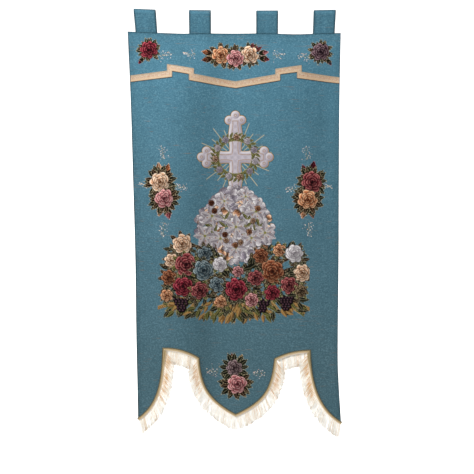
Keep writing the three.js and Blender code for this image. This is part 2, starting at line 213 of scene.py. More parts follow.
def steps_of(line):
    """How far along a line each of its points is."""
    return np.concatenate([[0], np.cumsum(np.linalg.norm(np.diff(line, axis=0), axis=1))])


def length_of(line):
    return float(np.linalg.norm(np.diff(line, axis=0), axis=1).sum())


def sample(at, table, places):
    """A table's rows at places between its own."""
    return np.stack([np.interp(places, at, column) for column in table.T], axis=-1)


def resample(line, count):
    at = steps_of(line)
    return sample(at, line, np.linspace(0, at[-1], count))


def bezier(bends, count=400):
    """Points along a curve of three or four bends, evenly apart."""
    t = np.linspace(0, 1, 400)[:, None]
    last = len(bends) - 1
    line = sum(comb(last, k) * t**k * (1 - t) ** (last - k) * np.array(bend, float)
               for k, bend in enumerate(bends))
    return resample(line, count)


def add_object(name, data):
    piece = bpy.data.objects.new(name, data)
    bpy.context.scene.collection.objects.link(piece)
    return piece


def add_mesh(name, points, faces):
    """A smooth piece from points in millimetres."""
    mesh = bpy.data.meshes.new(name)
    mesh.from_pydata((points / 1000).tolist(), [], faces)
    mesh.validate()
    mesh.polygons.foreach_set("use_smooth", [True] * len(mesh.polygons))
    return add_object(name, mesh)


def tubes(name, rings):
    """Capped tubes in one mesh, through rings shaped (tube, ring, point, XYZ)."""
    index = np.arange(rings.size // 3).reshape(rings.shape[:3])
    after = np.roll(index, -1, axis=2)
    sides = together(index[:, :-1], after[:, :-1], after[:, 1:], index[:, 1:]).reshape(-1, 4)
    caps = np.concatenate([index[:, 0, ::-1], index[:, -1]])
    return add_mesh(name, rings.reshape(-1, 3), sides.tolist() + caps.tolist())


def give_colour(piece, colours, name="paint"):
    """A colour for each vertex, in linear light."""
    full = np.ones((len(piece.data.vertices), 4))
    full[:, :3] = colours.reshape(-1, 3)
    stored = piece.data.color_attributes.new(name, "FLOAT_COLOR", "POINT")
    stored.data.foreach_set("color", full.ravel())


def give_value(piece, values, name):
    stored = piece.data.attributes.new(name, "FLOAT", "POINT")
    stored.data.foreach_set("value", values.ravel())


def light_of(*tones):
    """Linear light of colours as they show on a screen."""
    tones = np.array(tones, float) / 255
    return np.where(tones <= 0.04045, tones / 12.92, ((tones + 0.055) / 1.055) ** 2.4)


def graded(tones, share):
    """A colour between several tones, for each share from 0 to 1."""
    return sample(np.linspace(0, 1, len(tones)), np.array(tones), share)


# Threads of the woven pictures: each row runs from the deepest shade to the lightest, as it
# shows in the studio's light, which is brighter than 1 by the same share that DYE is below it
DYE = 0.66
THREADS = {
    "burgundy": [(18, 4, 7), (66, 15, 24), (126, 46, 53), (212, 132, 126)],
    "crimson": [(18, 4, 6), (62, 9, 22), (118, 25, 42), (200, 94, 102)],
    "russet": [(32, 12, 8), (84, 36, 22), (132, 68, 42), (200, 144, 108)],
    "peach": [(44, 17, 8), (150, 78, 46), (218, 142, 98), (250, 212, 170)],
    "cream": [(58, 33, 18), (178, 122, 88), (236, 187, 150), (254, 238, 214)],
    "pink": [(40, 11, 14), (136, 64, 70), (202, 122, 124), (248, 202, 194)],
    "purple": [(15, 8, 13), (50, 29, 39), (88, 60, 70), (170, 142, 146)],
    "lilac": [(24, 16, 18), (76, 54, 58), (122, 94, 97), (182, 162, 160)],
    "mist": [(96, 88, 98), (142, 132, 142), (180, 170, 178), (224, 216, 219)],
    "slate": [(18, 26, 32), (50, 68, 78), (92, 110, 116), (172, 184, 184)],
    "white": [(120, 110, 116), (178, 169, 172), (210, 203, 204), (242, 238, 234)],
    "gold": [(92, 62, 32), (160, 118, 64), (204, 164, 102), (240, 216, 160)],
    "leaf": [(8, 9, 5), (22, 24, 12), (50, 50, 26), (206, 196, 160)],
    "olive": [(36, 38, 16), (80, 80, 36), (132, 126, 66), (218, 206, 150)],
    "brown": [(14, 8, 5), (42, 24, 14), (86, 56, 34), (206, 182, 144)],
}
THREADS = {name: DYE * light_of(*tones) for name, tones in THREADS.items()}

# Each ring of a rose's petals: how many, how far out and how large, for a radius of 1
ROSE_RINGS = [(7, 0.64, 0.37), (6, 0.46, 0.33), (5, 0.28, 0.27), (3, 0.12, 0.19)]
FAR = 1000


def ahead(x, y, reach, angle):
    return x + reach * cos(angle), y + reach * sin(angle)


class Weaving:
    """A woven picture, on a grid of points in X and depth."""

    def __init__(self, left, top, right, bottom, pitch, seed):
        self.left, self.top, self.pitch = left, top, pitch
        self.x, self.y = np.meshgrid(np.arange(left, right, pitch), np.arange(top, bottom, pitch))
        self.colour = np.zeros(self.x.shape + (3,))
        self.cover = np.zeros(self.x.shape)
        self.chance = np.random.default_rng(seed)
        self.speckle = self.chance.normal(0, 1, self.x.shape)

    def vary(self, low, high):
        return self.chance.uniform(low, high)

    def near(self, x, y, reach, angle=0.0):
        """The window of the grid about a place, and its points along and across an angle."""
        ends = [((c - reach - low) / self.pitch, (c + reach - low) / self.pitch + 2)
                for c, low in ((y, self.top), (x, self.left))]
        window = tuple(slice(max(0, int(a)), max(0, int(b))) for a, b in ends)
        dx, dy = self.x[window] - x, self.y[window] - y
        return window, dx * cos(angle) + dy * sin(angle), dy * cos(angle) - dx * sin(angle)

    def lay(self, window, distance, colour, strength=1.0):
        """Lay a colour where the distance is below 0, with a soft edge."""
        mask = np.clip(0.5 - distance / self.pitch, 0, 1) * strength
        cover = self.cover[window]
        total = mask + cover * (1 - mask)
        share = (mask / np.maximum(total, 1e-6))[..., None]
        self.colour[window] = self.colour[window] * (1 - share) + colour * share
        self.cover[window] = total

    def petal(self, x, y, size, angle, tones, shade, wave):
        """One rounded petal, which curls back to a light rim at its outer side."""
        window, u, v = self.near(x, y, size * 1.2 + 3, angle)
        turn = np.arctan2(v, u)
        out = np.hypot(u, v) - size * (1 + 0.08 * np.cos(3 * turn + wave))
        share = 0.33 + 0.5 * u / size + 0.1 * np.sin(7 * turn + wave) + 0.08 * self.speckle[window]
        share = np.round(np.clip(share, 0, 1) * 6) / 6
        self.lay(window, out - 1.5, tones[0], 0.95)
        self.lay(window, out, graded(tones, share) * shade)
        rim = abs(out + 1.3) - 0.1 * size * np.clip(u / size + 0.3, 0, 1)
        self.lay(window, rim, tones[3] * shade, 0.55)

    def rose(self, x, y, radius, thread, turn):
        """An open rose, in rings of petals that overlap towards its heart."""
        tones = THREADS[thread]
        for k, (count, out, size) in enumerate(ROSE_RINGS):
            for i in range(count):
                angle = turn + 0.9 * k + (i + self.vary(-0.2, 0.2)) * 2 * pi / count
                reach = out * radius * self.vary(0.9, 1.08)
                lit = 1.0 - 0.22 * (cos(angle) + sin(angle)) - 0.07 * k
                lit *= self.vary(0.8, 1.12)
                place = ahead(x, y, reach, angle)
                self.petal(*place, size * radius, angle, tones, lit, self.vary(0, 6))
        self.spot(x, y, 0.1 * radius, tones[0], tones[1])

    def blade(self, x, y, length, width, angle, thread, teeth=0.0, outline=1.0, rib=True, lit=1.0):
        """A pointed leaf or petal from its stalk end."""
        tones = THREADS[thread] * lit
        window, u, v = self.near(*ahead(x, y, length / 2, angle), length * 0.62 + 3, angle)
        u = u / length + 0.5
        half = width / 2 * np.sin(pi * np.clip(u, 0, 1) ** 0.8) ** 0.9
        out = abs(v) - half * (1 - teeth * ((u * 7) % 1))
        veins = 0.13 * np.sin(26 * (u - 0.6 * abs(v) / width))
        share = np.clip(0.35 + 0.5 * np.sign(v) * (0.4 + veins) + 0.1 * self.speckle[window], 0, 1)
        if outline:
            around = out - outline + FAR * ((u < -0.04) | (u > 1.05))
            ticks = np.clip(0.55 + 0.6 * np.sin(length * 0.9 * u + angle), 0, 1)
            self.lay(window, around, tones[3], 0.85 * ticks)
        self.lay(window, out + FAR * ((u < 0) | (u > 1)), graded(tones[:3], share))
        if rib:
            self.lay(window, abs(v) - 0.45, tones[3] * 0.8, 0.5 * (u > 0.02) * (u < 0.9))

    def bud(self, x, y, length, angle, thread, leaf="leaf"):
        """A closed pointed bud in its sepals, from its stalk end."""
        for long, wide, lean, colour, outline, lit in (
            (0.9, 0.5, 0, thread, 1.2, 1), (0.86, 0.2, 0.12, thread, 0.5, 1.15),
            (0.66, 0.2, -0.42, leaf, 0.7, 1), (0.66, 0.2, 0.42, leaf, 0.7, 1),
            (0.42, 0.24, 0, leaf, 0, 1),
        ):
            self.blade(x, y, length * long, length * wide, angle + lean, colour, 0, outline, False, lit)

    def line(self, start, end, width, colour, strength=1.0):
        way = np.subtract(end, start) / 2
        half = hypot(*way)
        window, u, v = self.near(*(start + way), half + width + 2, atan2(way[1], way[0]))
        apart = np.hypot(np.maximum(abs(u) - half, 0), v)
        self.lay(window, apart - width / 2, colour, strength)

    def spot(self, x, y, radius, colour, light=None):
        window, dx, dy = self.near(x, y, radius + 2)
        self.lay(window, np.hypot(dx, dy) - radius, colour)
        if light is not None:
            lit = np.hypot(dx + 0.35 * radius, dy + 0.35 * radius) - 0.42 * radius
            self.lay(window, lit, light)

    def sprig(self, x, y, length, angle):
        """A light spray of pale flecks on fine stems."""
        start = np.array([x, y])
        way = np.array([cos(angle), sin(angle)])
        self.line(start, start + way * length * 0.9, 0.9, THREADS["olive"][2], 0.6)
        for k in range(30):
            share = (k + 0.5) / 30
            swing = self.chance.normal(0, 0.26) * length * (1.05 - 0.6 * share)
            place = start + way * length * share + quarter(way) * swing
            if k % 3 == 0:
                stem = start + way * length * max(0, share - 0.14)
                self.line(stem, place, 0.8, THREADS["olive"][2], 0.55)
            tones = THREADS[("white", "mist", "cream")[k % 3]]
            self.spot(*place, self.vary(0.7, 1.6), tones[2 + k % 2])

    def ruff(self, x, y, radius, count, turn, length=1.0, thread="leaf"):
        """Leaves that fan out from behind a flower."""
        for i in range(count):
            angle = turn + i * 2 * pi / count + self.vary(-0.18, 0.18)
            reach = radius * length * self.vary(0.85, 1.15)
            self.blade(*ahead(x, y, 0.7 * radius, angle), reach, 0.6 * reach, angle, thread, 0.22, 1.4)

    def lily(self, x, y, size, turn):
        """An open white lily with six pointed petals."""
        for k in (1, 3, 5, 0, 2, 4):
            self.blade(x, y, size * (1 - 0.08 * (k % 2)), size * 0.5, turn + k * pi / 3, "white", 0, 1.1)
        for k in range(6):
            tip = ahead(x, y, 0.42 * size, turn + 0.4 + k * pi / 3)
            self.line((x, y), tip, 1.0, THREADS["olive"][3], 0.8)
            self.spot(*tip, 1.7, THREADS["peach"][1])
        self.spot(x, y, 0.11 * size, THREADS["olive"][2])

    def wheat(self, x, y, length, angle):
        """An ear of wheat with its beards."""
        gold = THREADS["gold"]
        for k in range(7):
            base = ahead(x, y, length * (0.3 + 0.09 * k), angle)
            for side in (-1, 1):
                self.line(base, ahead(*base, 16, angle + side * 0.3), 0.8, gold[2], 0.7)
                self.blade(*base, length * 0.17, length * 0.085, angle + side * 0.5, "gold", 0, 0.6, False)
        self.line((x, y), ahead(x, y, length * 0.4, angle), 1.4, gold[1])


# Sprays of flowers: the grid's left, top, right and bottom, its seed, and what is laid in turn
SPRAYS = {
    "heading_left": ((-328, 4, -190, 112), 1, dict(
        sprig=[(-232, 70, 36, -0.1)],
        ruff=[(-266, 53, 27, 11, 0.3, 0.75), (-266, 53, 24, 8, 0.0, 0.8, "brown")],
        bud=[(-284, 76, 26, 2.2, "crimson")],
        rose=[(-267, 52, 27, "crimson", 0.4)],
    )),
    "heading_middle": ((-182, 14, 178, 128), 3, dict(
        sprig=[(-122, 66, 38, 3.2), (118, 69, 38, -0.1)],
        ruff=[(-42, 68, 28, 10, -42, 0.75), (-42, 68, 27, 7, 0.3, 0.8, "brown"),
              (3, 74, 28, 10, 3, 0.75), (3, 74, 27, 7, 0.3, 0.8, "brown"),
              (46, 68, 28, 10, 46, 0.75), (46, 68, 27, 7, 0.3, 0.8, "brown")],
        blade=[(58, 56, 22, 9, -0.9, "burgundy"), (66, 52, 22, 9, -0.5, "burgundy"),
               (52, 50, 22, 9, -1.3, "burgundy")],
        bud=[(-70, 62, 36, 3.3, "peach", "brown"), (-70, 78, 36, 2.95, "russet", "brown"),
             (74, 63, 34, -0.18, "pink"), (76, 77, 36, 0.15, "burgundy")],
        rose=[(-43, 67, 27, "peach", 0.2), (46, 67, 28, "cream", 1.0), (2, 77, 26, "pink", 0.7)],
    )),
    "heading_right": ((186, 4, 318, 112), 2, dict(
        sprig=[(232, 73, 36, 3.2)],
        ruff=[(266, 58, 27, 11, 0.1, 0.75), (266, 58, 24, 8, 0.4, 0.8, "brown")],
        bud=[(286, 80, 26, 0.9, "purple")],
        rose=[(266, 57, 27, "purple", 1.1)],
    )),
    "left": ((-312, 330, -132, 648), 4, dict(
        sprig=[(-222, 392, 44, -1.6), (-266, 468, 32, 3.15), (-180, 478, 34, 0.05),
               (-219, 586, 44, 1.6)],
        bud=[(-230, 440, 44, -1.75, "cream", "brown"), (-214, 442, 42, -1.3, "peach", "brown"),
             (-226, 532, 40, 1.8, "peach", "brown"), (-212, 536, 46, 1.3, "pink")],
        ruff=[(-231, 461, 33, 14, 0.2, 0.85), (-231, 461, 29, 11, 0.0, 0.85, "brown"),
              (-218, 512, 31, 13, 0.5, 0.92), (-218, 512, 29, 11, 0.1, 0.85, "brown")],
        rose=[(-231, 461, 31, "cream", 0.5), (-218, 512, 29, "pink", 0.1)],
    )),
    "right": ((144, 330, 318, 648), 5, dict(
        sprig=[(222, 392, 42, -1.55), (192, 483, 34, 3.1), (268, 475, 34, 0.0),
               (229, 586, 44, 1.55)],
        bud=[(222, 444, 42, -1.9, "burgundy"), (240, 436, 44, -1.45, "crimson"),
             (216, 538, 42, 1.75, "cream", "brown"), (234, 538, 40, 1.3, "russet")],
        ruff=[(238, 461, 33, 14, 0.0, 0.85), (238, 461, 29, 11, 0.3, 0.85, "brown"),
              (226, 515, 31, 13, 0.3, 0.92), (226, 515, 29, 11, 0.0, 0.85, "brown")],
        rose=[(239, 461, 32, "burgundy", 0.2), (226, 516, 30, "peach", 0.9)],
    )),
    "lobe": ((-116, 962, 126, 1146), 6, dict(
        sprig=[(-52, 1050, 36, 3.3), (58, 1056, 36, -0.15)],
        bud=[(-4, 1022, 34, -1.75, "russet", "brown"), (12, 1024, 34, -1.2, "gold")],
        ruff=[(4, 1084, 33, 14, 0.2, 0.9), (4, 1084, 29, 11, 0.5, 0.95, "brown"),
              (-1, 1038, 28, 13, 0.0)],
        rose=[(-1, 1036, 25, "lilac", 0.4), (8, 1087, 30, "pink", 0.9)],
    )),
}


def spray(grid, seed, rows):
    w = Weaving(*grid, 1.0, seed)
    for kind, places in rows.items():
        for place in places:
            getattr(w, kind)(*place)
    return w


# The centre design: a cross over white lilies, above a garland
CROSS_X = 2.0
CROSS_TOP, CROSS_CENTRE, CROSS_FOOT = 262.0, 384.0, 700.0
CROSS_ARM, CROSS_HALF = 96.0, 19.0
BUD_RADIUS = 13
WREATH_RADIUS = 62
CLOUD_CENTRE, CLOUD_RADIUS = 592, 118


def cross_distance(dx, y):
    """Distance outside the cross, with three round buds at each end."""
    def bar(ax, ay, half_x, half_y):
        return np.maximum(abs(ax) - half_x, abs(ay) - half_y)
    waist = CROSS_HALF * (1 + 0.1 * np.cos(np.hypot(dx, y - CROSS_CENTRE) / 11))
    middle = (CROSS_TOP + CROSS_FOOT) / 2
    out = bar(dx, y - middle, waist, (CROSS_FOOT - CROSS_TOP) / 2)
    out = np.minimum(out, bar(dx, y - CROSS_CENTRE, CROSS_ARM, waist))
    for cx, cy in ((0, CROSS_TOP), (-CROSS_ARM, CROSS_CENTRE), (CROSS_ARM, CROSS_CENTRE)):
        way = unit(np.array([cx, cy - CROSS_CENTRE]))
        for along, across in ((8, 0), (-7, 19), (-7, -19)):
            px, py = np.array([cx, cy]) + along * way + across * quarter(way)
            out = np.minimum(out, np.hypot(dx - px, y - py) - BUD_RADIUS)
    return out


def cross(w):
    """A bevelled cross with a gold inner line, before fine rays."""
    everywhere = np.s_[:, :]
    dx, y = w.x - CROSS_X, w.y
    gold = THREADS["gold"]
    for k in range(24):
        ends = (ahead(CROSS_X, CROSS_CENTRE, reach, k * pi / 12 + 0.13)
                for reach in (34, 112 if k % 2 else 90))
        w.line(*ends, 2.4, gold[3], 0.55)
    out = cross_distance(dx, y)
    down, right = np.gradient(out, w.pitch)
    bevel = np.clip(1 + out / 9, 0, 1)
    light = 0.72 - 0.4 * bevel * (right + down) / 1.4 + 0.03 * w.speckle
    weave = 0.08 * np.cos(dx / 3.4) * np.cos(y / 3.4) * (bevel < 0.05)
    w.lay(everywhere, out - 2.6, THREADS["slate"][0])
    w.lay(everywhere, out - 1.4, gold[2])
    w.lay(everywhere, out, graded(THREADS["mist"], light + weave))
    w.lay(everywhere, abs(out + 9.5) - 0.9, gold[1], 0.85)


def wreath(w):
    """Small leaves and white flowers in a ring about the crossing."""
    for k in range(34):
        angle = k * 2 * pi / 34
        for side in (-0.8, 0.75):
            w.blade(*ahead(CROSS_X, CROSS_CENTRE, WREATH_RADIUS, angle), 21, 8.5,
                    angle + pi / 2 + side, "olive", 0, 0.7)
    for k in range(11):
        place = ahead(CROSS_X, CROSS_CENTRE, WREATH_RADIUS, k * 2 * pi / 11 + 0.2)
        w.rose(*place, 9.5, ("white", "mist", "cream")[k % 3], k)


LILIES = [(-70, 566, 38, 0.3), (66, 552, 38, 0.9), (-92, 628, 38, 0.0), (94, 618, 38, 0.5),
          (-44, 636, 36, 0.8), (52, 634, 36, 0.2), (4, 600, 40, 0.5), (-32, 520, 30, 0.1),
          (34, 506, 30, 0.7), (4, 664, 36, 0.1)]
STEMS = [(-40, 670, 110, -2.0), (44, 668, 110, -1.15), (-16, 660, 120, -1.75), (24, 660, 120, -1.4)]


def lily_cloud(w):
    """White lilies with small lilac and white blossoms between them."""
    for k in range(520):
        angle, reach = w.vary(0, 2 * pi), CLOUD_RADIUS * sqrt(w.vary(0, 1))
        x, y = ahead(0, CLOUD_CENTRE, reach, angle)
        x *= 1 - 0.4 * max(0, (560 - y) / 90)
        thread = ("white", "white", "mist", "white", "cream")[k % 5]
        w.petal(x + CROSS_X, y, w.vary(5, 12), w.vary(0, 6), THREADS[thread],
                w.vary(0.94, 1.24), angle)
    for x, y, length, angle in STEMS:
        for share in (0.3, 0.5, 0.7):
            for side in (-0.7, 0.7):
                w.blade(*ahead(x, y, share * length, angle), 30, 9, angle + side, "olive", 0, 0.6)
    for lily in LILIES:
        w.lily(*lily)
    for k in range(9):
        place = (CROSS_X + 74 * sin(2.3 * k), 590 + 66 * cos(1.7 * k))
        w.rose(*place, 8.5, ("peach", "cream", "russet")[k % 3], k)


# Garland at the foot of the cross: X, depth, radius, thread and turn of each rose
GARLAND = [
    (-162, 652, 30, "cream", 0.1), (-196, 704, 22, "cream", 0.7), (-150, 716, 34, "burgundy", 0.2),
    (-204, 756, 24, "russet", 0.4), (-160, 784, 30, "crimson", 1.3), (-92, 682, 22, "slate", 0.9),
    (-96, 734, 32, "slate", 0.3), (-46, 716, 22, "white", 0.5), (-108, 796, 26, "burgundy", 0.8),
    (-54, 778, 24, "slate", 0.1), (-210, 812, 19, "peach", 0.6), (80, 690, 23, "russet", 0.4),
    (116, 738, 36, "russet", 1.0), (64, 758, 24, "burgundy", 0.3), (138, 672, 20, "peach", 0.2),
    (184, 682, 28, "white", 0.0), (208, 742, 27, "cream", 0.6), (168, 780, 26, "burgundy", 0.9),
    (116, 804, 24, "crimson", 0.5), (206, 798, 19, "brown", 0.2), (4, 794, 34, "crimson", 0.0),
    (-44, 832, 19, "peach", 0.4), (52, 826, 21, "pink", 0.8), (10, 738, 17, "pink", 0.3),
]
GRAPES = [(-164, 824), (86, 826), (160, 820)]


def garland(w):
    """Wheat, then leaves, grapes and roses over it."""
    for x in np.linspace(-204, 200, 15):
        w.wheat(x * 0.88, 822 + 10 * cos(x / 30), 66, pi / 2 - (x - 4) / 200 * 1.2)
    for k in range(760):
        x = w.vary(-214, 214)
        top = 668 + 76 * exp(-((x / 60) ** 2))
        y = w.vary(top, 874 - 14 * (x / 210) ** 2)
        angle = atan2(y - 770, x * 0.7) + w.vary(-0.7, 0.7)
        thread = (("gold", "olive", "leaf") if y > 826 else ("leaf", "brown", "leaf"))[k % 3]
        length = w.vary(20, 36)
        outline = 0.5 if k % 3 else 0
        w.blade(x - 8 * copysign(1, x), y, length, length * 0.45, angle, thread, 0.15, outline)
    for x, y in GRAPES:
        for row in range(6):
            many = 5 - row // 2 - row % 2
            for k in range(many):
                place = (x + (k - (many - 1) / 2) * 10 + w.vary(-1.5, 1.5), y + row * 7)
                w.spot(*place, 5.6, THREADS["purple"][0], THREADS["purple"][2])
    for x, y, radius, thread, turn in GARLAND:
        w.ruff(x, y, radius, 7, turn, 0.7, ("leaf", "brown", "olive")[int(turn * 10) % 3])
        w.rose(x, y, radius, thread, turn)


def centre():
    w = Weaving(-238, 236, 232, 912, 1.35, 7)
    for layer in (cross, wreath, lily_cloud, garland):
        layer(w)
    return w


PICTURE_SHIFT = -3.0


def patch(name, w):
    """The woven picture as a fine mesh that lies on the cloth. Its bare rim dips into the cloth."""
    marked = w.cover > 0.02
    i, j = np.nonzero(marked[:-1, :-1] | marked[1:, :-1] | marked[:-1, 1:] | marked[1:, 1:])
    index = np.arange(w.x.size).reshape(w.x.shape)
    faces = together(index[i, j], index[i + 1, j], index[i + 1, j + 1], index[i, j + 1])
    used, faces = np.unique(faces, return_inverse=True)
    cover = w.cover.ravel()[used]
    flat = together(w.x + PICTURE_SHIFT, w.y).reshape(-1, 2)[used]
    points = hung(flat, 0.08 - 0.24 * smoothstep(cover, 0, 0.4))
    piece = add_mesh(name, points, faces.reshape(-1, 4).tolist())
    give_colour(piece, w.colour.reshape(-1, 3)[used])
    give_value(piece, cover, "cover")
    return piece


class Graph:
    """The nodes of one material."""

    def __init__(self, name):
        self.material = bpy.data.materials.new(name)
        self.material.use_nodes = True
        self.tree = self.material.node_tree
        self.tree.nodes.clear()

    def add(self, kind, inputs, **settings):
        node = self.tree.nodes.new("ShaderNode" + kind)
        for key, value in settings.items():
            setattr(node, key, value)
        for key, value in inputs.items():
            socket = node.inputs[key]
            if isinstance(value, bpy.types.NodeSocket):
                self.tree.links.new(value, socket)
            else:
                socket.default_value = (*value, 1) if socket.type == "RGBA" else value
        return node

    def blend(self, share, a, b, how="MIX"):
        inputs = {0: share, 6: a, 7: b}
        return self.add("Mix", inputs, data_type="RGBA", blend_type=how).outputs[2]

    def plus(self, a, b):
        return self.add("Math", {0: a, 1: b}, operation="ADD").outputs[0]

    def times(self, a, b):
        return self.add("Math", {0: a, 1: b}, operation="MULTIPLY").outputs[0]

    def remap(self, value, low, high, to_low=0.0, to_high=1.0):
        inputs = {0: value, 1: low, 2: high, 3: to_low, 4: to_high}
        return self.add("MapRange", inputs).outputs[0]

    def stored(self, name, kind="Fac"):
        """A colour or value that lies in the mesh."""
        return self.add("Attribute", {}, attribute_name=name).outputs[kind]

    def place(self, scale=(1, 1, 1)):
        found = self.add("TexCoord", {}).outputs["Object"]
        return self.add("Mapping", {"Vector": found, "Scale": scale}).outputs[0]

    def noise(self, scale, stretch=(1, 1, 1), detail=2.0, rough=0.5):
        inputs = {"Vector": self.place(stretch), "Scale": scale, "Detail": detail,
                  "Roughness": rough}
        return self.add("TexNoise", inputs).outputs["Fac"]

    def threads(self, pitch, direction):
        """Even ridges, so many millimetres apart."""
        inputs = {"Vector": self.place(), "Scale": 2 * pi / (20 * pitch / 1000),
                  "Distortion": 0.6, "Detail": 1.0, "Detail Scale": 0.4}
        return self.add("TexWave", inputs, bands_direction=direction).outputs["Fac"]

    def finish(self, colour, roughness, height, depth, sheen=0.0, metallic=0.0, gloss=0.3):
        bump = self.add("Bump", {"Height": height, "Strength": 0.6, "Distance": depth / 1000})
        shader = self.add("BsdfPrincipled", {
            "Base Color": colour, "Roughness": roughness, "Metallic": metallic,
            "Normal": bump.outputs[0], "Sheen Weight": sheen, "Sheen Roughness": 0.4,
            "Specular IOR Level": gloss,
        })
        self.add("OutputMaterial", {"Surface": shader.outputs[0]})
        return self.material


def tapestry_material(name, tone):
    """Teal tapestry with a light fleck. Pictures come from the mesh's own colours."""
    g = Graph(name)
    mottle = g.noise(215, (1, 1, 1.4), 2.5, 0.55)
    fine = g.noise(620, (1, 1, 2.2), 1.0)
    # Painted sheen: the ground's tones are lighter and bluer towards the top and duller low down
    down = g.remap(g.add("SeparateXYZ", {0: g.place()}).outputs[2], -1.1, -0.2)
    low_tones = light_of((77, 106, 116), (94, 126, 137), (119, 152, 163)) * tone * DYE
    top_tones = light_of((73, 117, 136), (91, 139, 159), (125, 173, 188)) * tone * DYE
    dark, mid, fleck = (g.blend(down, a, b) for a, b in zip(low_tones, top_tones))
    ground = g.blend(g.remap(mottle, 0.34, 0.62), dark, mid)
    # Light cyan flecks of lurex thread, part of whose lightness is a painted glint; they are also less
    # rough
    lurex = g.remap(g.plus(mottle, g.times(fine, 0.25)), 0.70, 0.80)
    ground = g.blend(g.times(lurex, 0.38), ground, fleck)
    streak = g.remap(g.noise(150, (0.12, 1, 1.6), 1.0), 0.66, 0.78, 0.0, 0.3)
    ground = g.blend(streak, ground, THREADS["gold"][1])
    ground = g.blend(g.remap(g.noise(11), 0.3, 0.7, 0.0, 0.22), ground, (0.03, 0.08, 0.1))
    speckled = g.blend(fine, (0.82, 0.82, 0.82), (1.2, 1.2, 1.2))
    picture = g.blend(1.0, g.stored("paint", "Color"), speckled, "MULTIPLY")
    colour = g.blend(g.stored("cover"), ground, picture)
    weave = g.times(g.threads(WARP_PITCH, "X"), g.threads(WEFT_PITCH, "Z"))
    # Painted shade: the colour darkens by up to 16% in the hollows between the warp and weft threads
    colour = g.blend(g.remap(weave, 0, 1, 0.16, 0.0), colour, (0, 0, 0))
    # Painted shade along folded hems and the cut rim, from the turned values
    colour = g.blend(g.times(g.stored("turned"), 0.72), colour, (0.012, 0.022, 0.026))
    rough = g.remap(lurex, 0, 1, 0.86, 0.5)
    return g.finish(colour, rough, g.plus(weave, g.times(mottle, 0.8)), 0.35, 0.01, gloss=0.03)


def reverse_material():
    """The cloth's back: duller, with the weft's loose floats lying across it."""
    g = Graph("tapestry_reverse")
    floats = g.noise(120, (0.22, 1, 5.5), 3.0, 0.6)
    fine = g.noise(420, (0.3, 1, 3.0), 1.0)
    dull, mid, pale = light_of((62, 92, 102), (112, 140, 144), (196, 190, 170)) * DYE
    ground = g.blend(g.remap(floats, 0.35, 0.65), dull, mid)
    ground = g.blend(g.remap(fine, 0.6, 0.75, 0.0, 0.5), ground, pale)
    broken = g.times(g.stored("reverse_cover"), g.remap(floats, 0.36, 0.6, 0.25, 0.85))
    colour = g.blend(broken, ground, g.stored("reverse_paint", "Color"))
    return g.finish(colour, 0.9, g.plus(floats, g.threads(WEFT_PITCH, "Z")), 0.4, 0.1)


def trim_material(name, roughness, metallic, depth, pitch):
    """Trim whose colour lies in the mesh, under the fine twist of its threads."""
    g = Graph(name)
    twist = g.noise(500)
    shade = g.blend(twist, (0.72, 0.70, 0.68), (1.2, 1.2, 1.2))
    colour = g.blend(1.0, g.stored("paint", "Color"), shade, "MULTIPLY")
    rough = g.remap(twist, 0.3, 0.7, roughness - 0.1, roughness + 0.1)
    return g.finish(colour, rough, g.plus(twist, g.threads(pitch, "DIAGONAL")), depth, 0.2, metallic)


def plain_thread(name, tone):
    g = Graph(name)
    twist = g.noise(900)
    colour = g.blend(twist, light_of(tone)[0] * 0.7, light_of(tone)[0] * 1.2)
    return g.finish(colour, 0.7, twist, 0.15, 0.1)


def backdrop_material():
    g = Graph("backdrop")
    grain = g.noise(30, detail=3.0)
    colour = g.blend(grain, (0.90, 0.90, 0.90), (0.93, 0.93, 0.93))
    return g.finish(colour, 0.95, grain, 0.2)


def panel_outline(pitch):
    """Outline of the whole cut panel, in X and depth."""
    left = side_line(-1, np.linspace(0, LEFT_TIP[1], int(LEFT_TIP[1] / pitch)))
    right = side_line(1, np.linspace(RIGHT_TIP[1], 0, int(RIGHT_TIP[1] / pitch)))
    line = [left[:-1]]
    for bends in RUNS.values():
        fine = bezier(bends, 200)
        line.append(resample(fine, max(4, int(length_of(fine) / pitch)))[:-1])
    top = np.linspace(right[-1][0], left[0][0], int(660 / pitch))[1:-1]
    return np.concatenate([*line, right, together(top, 0)])


def inside(points, outline):
    """Which points lie in a closed outline."""
    x, y = points.T
    found = np.zeros(len(points), bool)
    for (x0, y0), (x1, y1) in zip(outline, np.roll(outline, -1, axis=0)):
        if y0 != y1:
            found ^= ((y0 > y) != (y1 > y)) & (x < (x1 - x0) * (y - y0) / (y1 - y0) + x0)
    return found


def filled(outline, pitch):
    """Triangles that fill a closed outline. Its own points come first."""
    low, high = outline.min(0), outline.max(0)
    count = np.ceil((high - low) / pitch).astype(int)
    xs, ys = (np.linspace(low[k], high[k], count[k] + 1) for k in range(2))
    grid = np.stack(np.meshgrid(xs, ys, indexing="ij"), axis=-1).reshape(-1, 2)
    grid = grid[inside(grid, outline)]
    apart = np.full(len(grid), np.inf)
    for p in outline:
        apart = np.minimum(apart, np.hypot(*(grid - p).T))
    points = np.concatenate([outline, grid[apart > pitch * 0.55]])
    border = list(range(len(outline)))
    made = delaunay_2d_cdt([Vector(p) for p in points.tolist()], [], [border], 1, 1e-5)
    return np.array([tuple(v) for v in made[0]]), np.array([f for f in made[2] if len(f) == 3])


def hem_fold_shade(distance):
    """Painted shade along a hem, so far in from its fold: a dark fold and a duller band."""
    return np.maximum(1 - smoothstep(distance, 0, 4.5), 0.14 * (1 - smoothstep(distance, 11, 14)))


